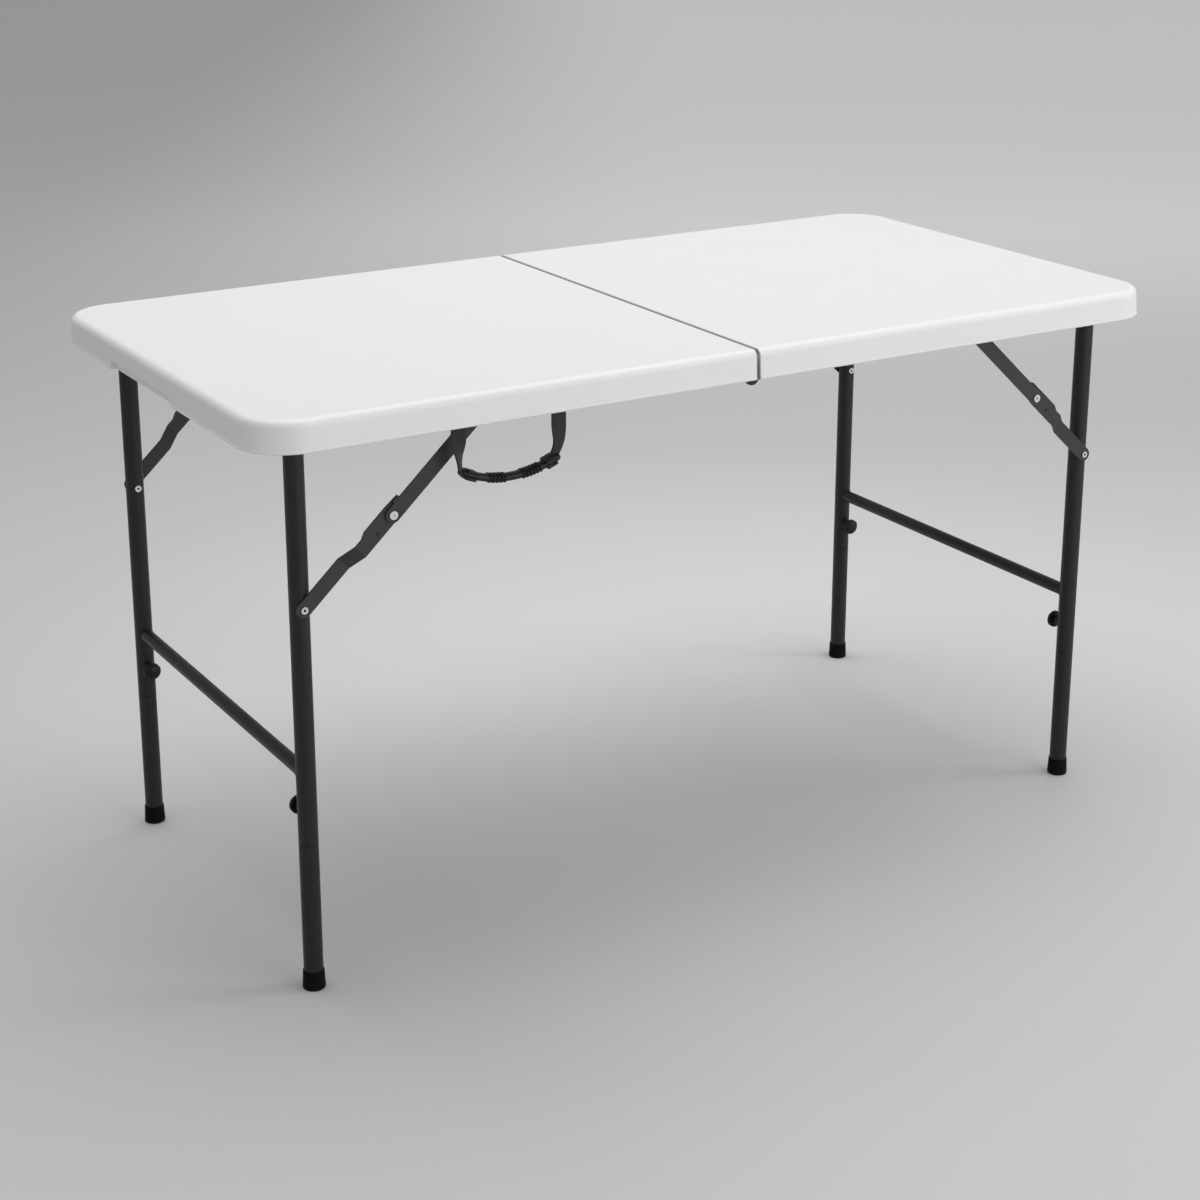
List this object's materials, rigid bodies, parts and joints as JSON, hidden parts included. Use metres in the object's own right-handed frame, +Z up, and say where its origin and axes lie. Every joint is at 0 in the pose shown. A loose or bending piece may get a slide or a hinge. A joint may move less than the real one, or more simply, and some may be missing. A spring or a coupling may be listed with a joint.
{
  "type": "folding table",
  "caption": "White rectangular folding table that folds in half, with hinged side rails, folding braced steel leg frames, telescopic legs with clamping knobs, and a carrying strap.",
  "frame": {"origin": "centre of the open table on the floor, under the middle of the seam", "axes": "+X along the table to the right, +Y to the rear, +Z up; the handle is on the -Y side of the left half"},
  "size_m": [1.22, 0.61, 0.67],
  "materials": {
    "top": "fine texture",
    "steel_black": "satin powder coat",
    "zinc": "bright zinc plate",
    "cap": "satin",
    "webbing": "woven",
    "grip": "matt"
  },
  "bodies": {
    "left_half": {"left_top": "top", "front_left_rail": "steel_black", "rear_left_rail": "steel_black", "hinge_rivets": "steel_black", "left_rail_screws": "zinc", "left_pivot_bolts": "zinc", "left_brace_rivets": "zinc", "handle_strap_ends": "webbing", "handle_rivets": "zinc"},
    "right_half": {"right_top": "top", "front_right_rail": "steel_black", "rear_right_rail": "steel_black", "right_rail_screws": "zinc", "right_pivot_bolts": "zinc", "right_brace_rivets": "zinc"},
    "handle": {"handle_strap": "webbing", "handle_grip": "grip"},
    "left_frame": {"left_pivot_tube": "steel_black", "left_crossbar": "steel_black", "left_leg_rivets": "zinc", "left_clamp_nuts": "steel_black", "front_left_upper_leg": "steel_black", "rear_left_upper_leg": "steel_black"},
    "front_left_lower_link": {"front_left_lower_link": "steel_black"},
    "front_left_upper_link": {"front_left_upper_link": "steel_black", "front_left_elbow_rivet": "zinc"},
    "front_left_lower_leg": {"front_left_lower_leg": "steel_black", "front_left_foot_cap": "cap"},
    "front_left_knob": {"front_left_knob": "cap", "front_left_stud": "zinc"},
    "rear_left_lower_link": {"rear_left_lower_link": "steel_black"},
    "rear_left_upper_link": {"rear_left_upper_link": "steel_black", "rear_left_elbow_rivet": "zinc"},
    "rear_left_lower_leg": {"rear_left_lower_leg": "steel_black", "rear_left_foot_cap": "cap"},
    "rear_left_knob": {"rear_left_knob": "cap", "rear_left_stud": "zinc"},
    "right_frame": {"right_pivot_tube": "steel_black", "right_crossbar": "steel_black", "right_leg_rivets": "zinc", "right_clamp_nuts": "steel_black", "front_right_upper_leg": "steel_black", "rear_right_upper_leg": "steel_black"},
    "front_right_lower_link": {"front_right_lower_link": "steel_black"},
    "front_right_upper_link": {"front_right_upper_link": "steel_black", "front_right_elbow_rivet": "zinc"},
    "front_right_lower_leg": {"front_right_lower_leg": "steel_black", "front_right_foot_cap": "cap"},
    "front_right_knob": {"front_right_knob": "cap", "front_right_stud": "zinc"},
    "rear_right_lower_link": {"rear_right_lower_link": "steel_black"},
    "rear_right_upper_link": {"rear_right_upper_link": "steel_black", "rear_right_elbow_rivet": "zinc"},
    "rear_right_lower_leg": {"rear_right_lower_leg": "steel_black", "rear_right_foot_cap": "cap"},
    "rear_right_knob": {"rear_right_knob": "cap", "rear_right_stud": "zinc"}
  },
  "joints": [
    {"name": "fold_in_half", "type": "hinge", "parent": "left_half", "child": "right_half", "pos_m": [0, 0, 0.635], "axis": [0, -1, 0], "range_deg": [-78, 0]},
    {"name": "handle_swing", "type": "hinge", "parent": "left_half", "child": "handle", "pos_m": [-0.316, -0.293, 0.6335], "axis": [-1, 0, 0], "range_deg": [0, 90]},
    {"name": "left_frame_fold", "type": "hinge", "parent": "left_half", "child": "left_frame", "pos_m": [-0.545, 0, 0.645], "axis": [0, -1, 0], "range_deg": [0, 87]},
    {"name": "front_left_lower_link_turn", "type": "hinge", "parent": "left_frame", "child": "front_left_lower_link", "pos_m": [-0.545, -0.2575, 0.45], "axis": [0, -1, 0], "range_deg": [-0.01, 46.48]},
    {"name": "front_left_upper_link_turn", "type": "hinge", "parent": "left_half", "child": "front_left_upper_link", "pos_m": [-0.335, -0.272, 0.645], "axis": [0, -1, 0], "range_deg": [-42.3, 0.01]},
    {"name": "front_left_leg_extend", "type": "slide", "parent": "left_frame", "child": "front_left_lower_leg", "axis": [0, 0, -1], "range_m": [0, 0.07]},
    {"name": "front_left_knob_turn", "type": "hinge", "parent": "left_frame", "child": "front_left_knob", "pos_m": [-0.545, -0.225, 0.213], "axis": [0, 1, 0], "continuous": true},
    {"name": "rear_left_lower_link_turn", "type": "hinge", "parent": "left_frame", "child": "rear_left_lower_link", "pos_m": [-0.545, 0.2575, 0.45], "axis": [0, -1, 0], "range_deg": [-0.01, 46.48]},
    {"name": "rear_left_upper_link_turn", "type": "hinge", "parent": "left_half", "child": "rear_left_upper_link", "pos_m": [-0.335, 0.272, 0.645], "axis": [0, -1, 0], "range_deg": [-42.3, 0.01]},
    {"name": "rear_left_leg_extend", "type": "slide", "parent": "left_frame", "child": "rear_left_lower_leg", "axis": [0, 0, -1], "range_m": [0, 0.07]},
    {"name": "rear_left_knob_turn", "type": "hinge", "parent": "left_frame", "child": "rear_left_knob", "pos_m": [-0.545, 0.225, 0.213], "axis": [0, 1, 0], "continuous": true},
    {"name": "right_frame_fold", "type": "hinge", "parent": "right_half", "child": "right_frame", "pos_m": [0.545, 0, 0.645], "axis": [0, 1, 0], "range_deg": [0, 80]},
    {"name": "front_right_lower_link_turn", "type": "hinge", "parent": "right_frame", "child": "front_right_lower_link", "pos_m": [0.545, -0.2575, 0.45], "axis": [0, 1, 0], "range_deg": [-0.01, 44.96]},
    {"name": "front_right_upper_link_turn", "type": "hinge", "parent": "right_half", "child": "front_right_upper_link", "pos_m": [0.335, -0.272, 0.645], "axis": [0, 1, 0], "range_deg": [-40.9, 0.01]},
    {"name": "front_right_leg_extend", "type": "slide", "parent": "right_frame", "child": "front_right_lower_leg", "axis": [0, 0, -1], "range_m": [0, 0.07]},
    {"name": "front_right_knob_turn", "type": "hinge", "parent": "right_frame", "child": "front_right_knob", "pos_m": [0.545, -0.225, 0.213], "axis": [0, 1, 0], "continuous": true},
    {"name": "rear_right_lower_link_turn", "type": "hinge", "parent": "right_frame", "child": "rear_right_lower_link", "pos_m": [0.545, 0.2575, 0.45], "axis": [0, 1, 0], "range_deg": [-0.01, 44.96]},
    {"name": "rear_right_upper_link_turn", "type": "hinge", "parent": "right_half", "child": "rear_right_upper_link", "pos_m": [0.335, 0.272, 0.645], "axis": [0, 1, 0], "range_deg": [-40.9, 0.01]},
    {"name": "rear_right_leg_extend", "type": "slide", "parent": "right_frame", "child": "rear_right_lower_leg", "axis": [0, 0, -1], "range_m": [0, 0.07]},
    {"name": "rear_right_knob_turn", "type": "hinge", "parent": "right_frame", "child": "rear_right_knob", "pos_m": [0.545, 0.225, 0.213], "axis": [0, 1, 0], "continuous": true}
  ],
  "couplings": [
    {"joint": "front_left_lower_link_turn", "follows": "left_frame_fold", "ratio": 0.53416},
    {"joint": "front_left_upper_link_turn", "follows": "left_frame_fold", "ratio": -0.48604},
    {"joint": "rear_left_lower_link_turn", "follows": "left_frame_fold", "ratio": 0.53416},
    {"joint": "rear_left_upper_link_turn", "follows": "left_frame_fold", "ratio": -0.48604},
    {"joint": "front_right_lower_link_turn", "follows": "right_frame_fold", "ratio": 0.56185},
    {"joint": "front_right_upper_link_turn", "follows": "right_frame_fold", "ratio": -0.51115},
    {"joint": "rear_right_lower_link_turn", "follows": "right_frame_fold", "ratio": 0.56185},
    {"joint": "rear_right_upper_link_turn", "follows": "right_frame_fold", "ratio": -0.51115}
  ]
}
